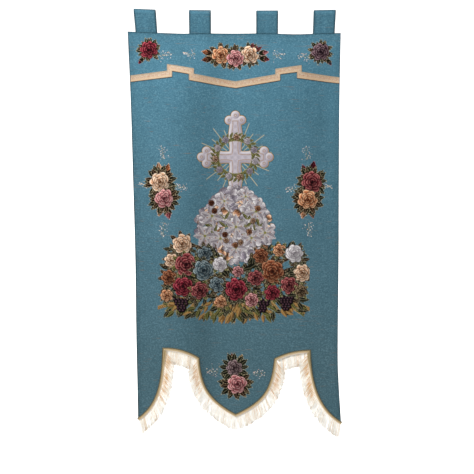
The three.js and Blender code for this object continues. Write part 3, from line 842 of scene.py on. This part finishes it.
def cloth(designs):
    """The cut and hemmed cloth, thicker at its hems, and its flat area in square metres."""
    outline = panel_outline(CLOTH_PITCH)
    flat, faces = filled(outline, CLOTH_PITCH)
    n, rim = len(flat), len(outline)
    x, depth = flat.T
    hem = 1 - smoothstep(np.minimum(from_side(flat) - SIDE_HEM, depth - TOP_HEM), 0, 2)
    thick = mix(CLOTH, HEMMED_CLOTH, hem)
    points = np.concatenate([hung(flat), hung(flat, thick), hung(flat[:rim], thick[:rim] / 2)])
    u, v = (flat[faces[:, k]] - flat[faces[:, 0]] for k in (1, 2))
    doubled = u[:, 0] * v[:, 1] - u[:, 1] * v[:, 0]
    if doubled[0] > 0:
        faces = faces[:, ::-1]
    i = np.arange(rim)
    j = np.roll(i, -1)
    quads = np.concatenate([together(i, j, 2 * n + j, 2 * n + i),
                            together(2 * n + i, 2 * n + j, n + j, n + i)])
    every = faces.tolist() + (n + faces[:, ::-1]).tolist() + quads.tolist()
    piece = add_mesh("cloth", points, every)
    piece.data.materials.append(tapestry_material("tapestry", 1.0))
    piece.data.materials.append(reverse_material())
    slots = np.zeros(len(every), np.int32)
    slots[len(faces):2 * len(faces)] = 1
    piece.data.polygons.foreach_set("material_index", slots)
    paint, cover = np.zeros((n, 3)), np.zeros(n)
    for w in designs:
        column = np.round((x - PICTURE_SHIFT - w.left) / w.pitch).astype(int)
        row = np.round((depth - w.top) / w.pitch).astype(int)
        held = (column >= 0) & (row >= 0) & (column < w.x.shape[1]) & (row < w.x.shape[0])
        place = np.where(held, row, 0), np.where(held, column, 0)
        held &= w.cover[place] > cover
        paint[held], cover[held] = w.colour[place][held], w.cover[place][held]
    # Painted shade along the side and top hems; the cut rim is shaded fully
    turned = hem_fold_shade(np.minimum(from_side(flat), depth + 1.5))
    rest = np.zeros(rim)
    give_value(piece, np.concatenate([turned, 0 * turned, rest + 1]), "turned")
    give_value(piece, np.concatenate([cover, cover, rest]), "reverse_cover")
    give_colour(piece, np.concatenate([paint, paint, np.zeros((rim, 3))]), "reverse_paint")
    return piece, abs(doubled).sum() / 2e6


def tab(name, at, lift, lean, tilt):
    """A strip of cloth folded into a loop, with both ends sewn behind the top hem."""
    half = TAB_CLOTH / 2
    front = SEAT_GAP / 2 + half
    back = front + TAB_CLOTH
    middle_radius = LOOP_RADIUS + half

    def touch(y, side):
        """The angle at which a straight leg meets the loop."""
        z = TAB_SEAM - PANEL_DROP
        return atan2(z, y) + side * acos(middle_radius / hypot(y, z))

    angles = np.linspace(touch(back, 1), touch(front, -1) + 2 * pi, 40)
    loop = together(np.cos(angles), np.sin(angles)) * middle_radius + [0, PANEL_DROP]
    line = resample(np.concatenate([[[back, -TAB_TAIL], [back, TAB_SEAM]], loop,
                                    [[front, TAB_SEAM], [front, -TAB_TAIL]]]), 150)
    across = np.sin(np.linspace(-0.5, 0.5, 31) * pi)
    round_off = half * np.sqrt(np.clip(1 - abs(across) ** 24, 0.05, 1)) - 0.05
    out = -quarter(unit(np.gradient(line, axis=0)))[:, None] * round_off[:, None]
    outer, inner = (together(across * TAB_WIDTH / 2, *np.moveaxis(line[:, None] + way, -1, 0))
                    for way in (out, -out))
    x, y, z = np.moveaxis(np.concatenate([outer, inner[:, ::-1]], axis=1), -1, 0)
    rings = together(at + x + lean * z, y, lift - PANEL_DROP + z + tilt * x)
    piece = tubes(name + "_cloth", rings[None])
    # Painted shade along the tab's folded sides and over the top of its loop
    near_side = 0.45 * (TAB_WIDTH / 2 - abs(x))
    near_top = abs(PANEL_DROP + LOOP_RADIUS + TAB_CLOTH - z)
    give_value(piece, hem_fold_shade(np.minimum(near_side, 0.5 * near_top)), "turned")
    return piece, length_of(line)


def outward_of(line):
    return quarter(unit(np.gradient(line, axis=0)))


def run_stations(name, pitch):
    """Points along a run of the lower edge, their outward directions, which turn to that of
    the mitre beside a neighbour, and their distances along it."""
    names = list(RUNS)
    line = bezier(RUNS[name])
    line = resample(line, int(length_of(line) / pitch) + 2)
    outward = outward_of(line)
    at = np.linspace(0, length_of(line), len(line))
    for step, end, distance in ((-1, 0, at), (1, -1, at[-1] - at)):
        k = names.index(name) + step
        if 0 <= k < len(names):
            theirs = outward_of(bezier(RUNS[names[k]]))[-1 - end]
            both = unit(outward[end] + theirs)
            share = np.clip(1 - distance / MITRE_REACH, 0, 1)[:, None]
            outward = mix(outward, both / (both @ theirs), share)
    return line, outward, at


def along_edge(line, outward, out, behind):
    """Rings of a trim's section, by distance outward and behind the front."""
    return hung(line[:, None] + outward[:, None] * out[..., None], behind)


def whole_edge(pitch):
    """The whole lower edge, and how much wider the gimp is along it."""
    parts = [run_stations(name, pitch) for name in RUNS]
    line, outward = (np.concatenate([p[j][k > 0:] for k, p in enumerate(parts)]) for j in (0, 1))
    extra = np.zeros(len(line))
    for corner, side in ((LEFT_NOTCH_OUT, -1), (RIGHT_NOTCH_OUT, 1)):
        dx, dy = (line - corner).T
        tail = (side * dx > -0.5) & (dy > -2)
        extra += tail * CORNER_EXTRA * (1 - smoothstep(np.hypot(dx, dy), 0, CORNER_REACH))
    return line, outward, extra


def gimp():
    """Gold braid: a flat tape under twisted cords of two plies."""
    line, outward, extra = whole_edge(GIMP_PITCH)
    extra = extra[:, None]
    weave = 0.16 * np.sin(2.2 * GIMP_PITCH * np.arange(1, len(line) + 1))[:, None] * TAPE_WEAVE
    rings = along_edge(line, outward, TAPE_OUT + extra * TAPE_EXTRA, TAPE_BEHIND - weave)
    tape = tubes("gimp_tape", rings[None])
    # Painted shadow along the cloth side: the tape grades from gold at its outer side to dark olive at its
    # inner side
    gold, amber, dark = light_of((220, 193, 148), (166, 146, 105), (66, 66, 48))
    shade = np.array([2, 2, 1.7, 1.4, 1.1, 0.9, 0.6, 0.5]) / 2
    give_colour(tape, graded([gold, amber, dark], np.broadcast_to(shade, rings.shape[:2])))
    pieces = [tape]
    turn = np.linspace(0, 2 * pi, 13)[:-1]
    plies = np.cos(2 * turn - 2 * pi * steps_of(line)[:, None] / CORD_TWIST)
    for name, out, behind, radius, colour in (
        ("gimp_outer_cord", 0.5 + extra, -2.1, 1.15, gold * 0.76),
        ("gimp_middle_cord", -2 + extra / 2, -2.1, 1.15 + extra / 8, mix(gold, amber, 0.7) * 0.75),
        # The inner cord is darkest: painted shadow along the cloth side
        ("gimp_inner_cord", -4.9, -1.75, 1.05, mix(amber, dark, 0.9)),
    ):
        reach = radius * (1 + 0.17 * plies)
        rings = along_edge(line, outward, out + reach * np.cos(turn), behind + reach * np.sin(turn))
        cord = tubes(name, rings[None])
        # Painted highlight and shade: each cord is lighter on its plies' crowns and darker in the grooves
        # between them
        give_colour(cord, colour * (1 + 1.9 * 0.17 * plies[..., None]))
        pieces.append(cord)
    return pieces


def strand_way(out):
    """Strands hang down, and lean outward more where the edge is upright."""
    return unit(np.array([0, 1]) + (OUTWARD_LEAN + STEEP_LEAN * out[..., :1] ** 2) * out)


def strand_places(name, outward, at):
    """Places along a run, evenly apart as measured square to the strands."""
    start, end = (2.6 if RUNS[name][k] in NOTCH_CORNERS else 0.1 for k in (0, -1))
    places = []
    while start < at[-1] - end:
        out = unit(sample(at, outward, start))
        way = strand_way(out)
        places.append(start)
        start += STRAND_PITCH / sqrt(max(1 - (out[0] * way[1] - out[1] * way[0]) ** 2, 0.05))
    return np.array(places)


def fringe(name, chance):
    """A run's heading tape and its twisted cotton strands, in locks."""
    line, outward, at = run_stations(name, HEADING_PITCH)
    in_notch = "notch" in name
    wave = 0.22 * np.sin(at * 2 * pi / 2.6)[:, None]
    out, behind = HEADING.T
    behind = behind - wave * [0, 0, 0, 0, 0, 0.5, 1, -1, 1]
    heading = tubes(name + "_heading", along_edge(line, outward, out, behind)[None])
    ivory, warm, tan = light_of((253, 252, 249), (244, 236, 220), (216, 172, 118))
    # Painted shade: the heading is lighter where most of its face stands forward and warmer where it sinks
    # back
    tones = graded([warm, ivory], np.broadcast_to(0.5 + wave * 2, behind.shape))
    # Golden tint: the heading's own gold edge next to the gimp, and painted shade where the edge is
    # upright
    steep = 0.5 * smoothstep(abs(outward[:, :1]), 0.82, 0.99)
    golden = np.maximum(steep, [0.55, 0, 0, 0, 0, 0.1, 0.25, 0.4, 0.55])[..., None]
    give_colour(heading, mix(tones, light_of((218, 184, 138)), golden))

    s = strand_places(name, outward, at)
    number = (len(s), 1)
    order = np.arange(len(s))[:, None]
    lock, layer = order // STRANDS_IN_LOCK, order % 3 - 1
    locks = lock.max() + 1
    gather = (order % STRANDS_IN_LOCK - 6) / 6
    out = unit(sample(at, outward, s))
    root = sample(at, line, s) + out * chance.uniform(3.2, 5.0, number)
    lean = chance.normal(0, 0.035, locks)[lock] + chance.normal(0, 0.028, number) + 0.03 * gather
    along = strand_way(out)
    along = along * np.cos(lean) - quarter(along) * np.sin(lean)
    side = -quarter(along)[:, None]
    reach = STRAND_LENGTH + 2.2 * np.sin(lock * 2.1) + chance.normal(0, 1.3, number)
    t = np.linspace(0, 1, 8)
    bend = chance.normal(0, 0.7, number) * t**2 + 0.45 * np.sin(
        t * chance.uniform(4, 8, number) + chance.uniform(0, 6, number)) * t
    flat = root[:, None] + along[:, None] * (reach * t)[..., None] + side * bend[..., None]
    middle = BACK_LAYER if in_notch else FRONT_LAYER
    behind = middle + (LAYER_GAP * layer + chance.normal(0, 0.12, number)) * (0.35 + 0.65 * t)
    radius = (chance.uniform(0.42, 0.56, number) * (1 - 0.25 * t))[..., None]
    turn = np.array([0, 2.1, 4.2])
    spread = flat[:, :, None] + side[:, None] * (radius * np.cos(turn))[..., None]
    strands = tubes(name + "_strands", hung(spread, behind[..., None] + radius * np.sin(turn)))

    # Strand tones: random per lock and per strand and darker overall in the notches, with painted shade in
    # the back layer, at each lock's edges and towards the tips
    shade = np.clip(chance.normal(0.3 if in_notch else 0.12, 0.2, locks), 0, 0.7)[lock]
    shade = np.clip(shade + 0.2 * layer + chance.normal(0, 0.16, number), 0, 1)
    # Painted shade on upright edges: a tan band partway down each strand
    upright_shade = np.clip(chance.normal(0.8, 0.3, locks), 0, 1)[lock]
    upright_shade = upright_shade * smoothstep(abs(out[:, :1]), 0.86, 0.98)
    upright_shade_at = chance.normal(0.3, 0.13, number)
    shade = shade + 0.5 * (abs(gather) > 0.8) * (1 - t) ** 0.5 + 0.25 * t**4
    shade = np.clip(shade + upright_shade * np.exp(-(((t - upright_shade_at) / 0.28) ** 2)), 0, 1)
    give_colour(strands, np.repeat(graded([ivory, warm, tan], shade)[:, :, None], 3, axis=2))
    return heading, strands


def galloon():
    """The stepped ribbon with a raised cord along each edge, its width and length in metres,
    and its upper and lower edge."""
    corners = np.stack([GALLOON_UPPER, GALLOON_LOWER], axis=1)
    edges = []
    for a, b in zip(corners[:-1], corners[1:]):
        steps = max(2, int(np.hypot(*(b - a).mean(0)) / GALLOON_PITCH))
        edges.append(mix(a, b, np.linspace(0, 1, steps)[:-1, None, None]))
    top, bottom = np.moveaxis(np.concatenate([*edges, corners[-1:]]), 1, 0)
    at = steps_of((top + bottom) / 2)
    across = np.linspace(0, 1, 24)
    flat = mix(top[:, None], bottom[:, None], across[:, None])
    most = from_side(flat) + abs(flat[..., 0]) - 1.5
    flat[..., 0] = np.clip(flat[..., 0], -most, most)
    cord = np.exp(-(((across - 0.07) / 0.05) ** 2)) + np.exp(-(((across - 0.93) / 0.05) ** 2))
    u = at[:, None] / GALLOON_REPEAT
    v = (across - 0.5) * 1.15
    lattice = np.minimum(abs((u + v) % 1 - 0.5), abs((u - v) % 1 - 0.5))
    thread = np.clip(1 - lattice / 0.13, 0, 1) * (abs(v) < 0.44)
    bloom = sum(np.clip(1 - np.hypot(away, v * 1.1) / 0.17, 0, 1)
                for away in (u - np.round(u), u % 1 - 0.5))
    twill = np.sin(at[:, None] * 2.6 + across * 30)
    relief = 0.35 * cord + 0.16 * thread + 0.14 * bloom + 0.05 * twill
    front, back = hung(flat, GALLOON_FRONT - relief), hung(flat, GALLOON_BACK)[:, ::-1]
    piece = tubes("galloon_ribbon", np.concatenate([front, back], axis=1)[None])
    base, cream, gold, pink, brown, dull, bright = 0.42 * light_of(
        (234, 196, 158), (255, 242, 220), (176, 122, 68), (218, 150, 122), (84, 56, 34),
        (182, 168, 146), (255, 218, 176))
    streak = np.random.default_rng(3).normal(0, 1, (len(at) // 4 + 2, 24))
    streak = sample(np.arange(len(streak)), streak, at / at[-1] * (len(streak) - 1))
    tone = base
    for colour, share in (
        (cream, np.clip(0.25 + 0.35 * streak, 0, 0.8)),
        (pink, np.clip(-0.2 - 0.45 * streak, 0, 0.75)),
        (gold, 0.4 * thread),
        (pink, 0.5 * np.clip(bloom, 0, 1)),
        (dull, 0.75 * smoothstep(across, 0.2, 0.06)),
        (bright, 0.6 * smoothstep(across, 0.5, 0.7) * smoothstep(across, 0.93, 0.86)),
        # Brown along the lower edge: a woven dark edge, widened by painted shadow under the raised ribbon
        (brown, 0.9 * smoothstep(across, 0.9, 0.96)),
    ):
        tone = mix(tone, colour, share[..., None])
    give_colour(piece, np.concatenate([tone, tone[:, ::-1]], axis=1))
    width = np.linalg.norm(top - bottom, axis=1).mean()
    return piece, (float(width) / 1000, float(at[-1]) / 1000), top, bottom


def stitches(line, lift, facing):
    """Even stitches along a line in X and depth. Facing is -1 in front and 1 behind."""
    count = int(length_of(line) / STITCH_PITCH)
    fine = resample(line, count * 40 + 1)
    share = np.array([0, 0.15, 0.5, 0.85, 1]) * STITCH_LENGTH / STITCH_PITCH * 40
    flat = fine[np.clip(np.arange(count)[:, None] * 40 + share.astype(int), 0, len(fine) - 1)]
    side = quarter(unit(flat[:, -1:] - flat[:, :1]))[:, :, None]
    arch = np.array([-0.35, 0.25, 0.4, 0.25, -0.35])[:, None]
    turn = np.linspace(0, 2 * pi, 5)[:-1]
    spread = flat[:, :, None] + side * (STITCH_WIDTH / 2 * np.cos(turn))[:, None]
    return hung(spread, lift + facing * (arch + 0.24 * np.sin(turn)))


def hem_stitches():
    depth = np.linspace(TOP_HEM + 2, 1150, 400)
    lines = [together(np.linspace(-330, 321, 300), TOP_HEM - 2.2)]
    lines += [side_line(side, depth) - [side * (SIDE_HEM - 2), 0] for side in (-1, 1)]
    rings = [stitches(line, lift, facing)
             for lift, facing in ((0, -1), (HEMMED_CLOTH, 1)) for line in lines]
    return tubes("hem_stitches", np.concatenate(rings))


def settle(piece, node, material=None):
    if material:
        piece.data.materials.append(material)
    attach(piece, "root")
    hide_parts(node)
    return piece


designs = {"woven_" + name: spray(*rows) for name, rows in SPRAYS.items()}
designs["woven_centre"] = centre()
panel, panel_area = cloth(designs.values())
settle(panel, "panel")
on_panel = [settle(patch(name, weaving), "panel", panel.data.materials[0])
            for name, weaving in designs.items()]
thread = plain_thread("sewing_thread", (66, 104, 118))
on_panel.append(settle(hem_stitches(), "panel", thread))

tab_weave = tapestry_material("tab_weave", 1.04)
for name, place in TABS.items():
    strip, long = tab(name, *place)
    settle(strip, name, tab_weave)

braid = trim_material("gold_braid", 0.42, 0.25, 0.2, 1.3)
on_panel += [settle(piece, "gimp", braid) for piece in gimp()]

cotton = trim_material("cotton", 0.85, 0.0, 0.15, 1.1)
chance = np.random.default_rng(11)
on_panel += [settle(piece, name, cotton) for name in RUNS for piece in fringe(name, chance)]

ribbon, ribbon_flat, ribbon_top, ribbon_bottom = galloon()
settle(ribbon, "galloon", trim_material("ribbon", 0.5, 0.1, 0.12, 0.9))
seam = tubes("galloon_stitches", np.concatenate([
    stitches(line, -1.45, -1) for line in (ribbon_top + [0, 2.6], ribbon_bottom - [0, 2.6])]))
thread = plain_thread("ribbon_thread", (206, 168, 122))
on_panel.append(settle(seam, "galloon", thread))


def camera():
    """The camera, at the photograph's angle."""
    data = bpy.data.cameras.new("camera")
    data.sensor_width, data.lens = 36, 85
    eye = add_object("camera", data)
    x = (FRAME_PIXELS / 2 - MIDDLE_PIXEL) * PIXEL / 1000
    z = -(PANEL_DROP + (FRAME_PIXELS / 2 - TOP_EDGE_PIXEL) * PIXEL) / 1000
    eye.location = (x, -PIXEL * FRAME_PIXELS / 1000 * data.lens / data.sensor_width, z)
    eye.rotation_euler = (pi / 2, 0, 0)
    bpy.context.scene.camera = eye


# The studio in metres: its floor and wall, and each lamp's size, power, place, target and colour
FLOOR_Z, WALL_Y, BEND, WIDE, HIGH = -2.4, 4.8, 1.2, 9, 5
COOL, PLAIN = (0.96, 1.0, 1.03), (1, 1, 1)
LAMPS = {
    "key": (0.8, 125, (-2.7, -1.65, 1.2), (0, 0, -0.65), COOL),
    "top": (1.0, 25, (-0.25, -1.0, 0.92), (0, 0, -0.4), COOL),
    "fill": (0.8, 6.5, (1.5, -1.2, -1.15), (0.3, 0, -0.9), PLAIN),
    "wall_left": (1.6, 95, (-2.9, 2.5, -0.6), (-0.5, 4.8, -0.8), PLAIN),
    "wall_right": (1.6, 95, (2.9, 2.5, -0.6), (0.5, 4.8, -0.8), PLAIN),
}


def studio():
    """A pale floor that curves up to a far wall, a key lamp at the upper left, and wall lamps."""
    turn = np.linspace(0, pi / 2, 12)
    curve = together(WALL_Y - BEND + BEND * np.sin(turn), FLOOR_Z + BEND - BEND * np.cos(turn))
    profile = np.concatenate([[[-WIDE, FLOOR_Z]], curve, [[WALL_Y, HIGH]]])
    points = np.array([(x, y, z) for y, z in profile for x in (-WIDE, WIDE)])
    faces = [(k, k + 1, k + 3, k + 2) for k in range(0, len(points) - 2, 2)]
    floor = add_mesh("backdrop", points * 1000, faces)
    floor.data.materials.append(backdrop_material())
    world = bpy.data.worlds.new("studio")
    world.use_nodes = True
    sky = world.node_tree.nodes["Background"].inputs
    sky["Color"].default_value = (1, 0.985, 0.96, 1)
    sky["Strength"].default_value = 0.55
    bpy.context.scene.world = world
    for name, (size, power, place, target, colour) in LAMPS.items():
        data = bpy.data.lights.new(name, "AREA")
        data.size, data.energy, data.color = size, power, colour
        lamp = add_object(name, data)
        lamp.location = place
        lamp.rotation_euler = (Vector(target) - Vector(place)).to_track_quat("-Z", "Y").to_euler()
    bpy.context.scene.view_settings.view_transform = "Standard"


camera()
studio()
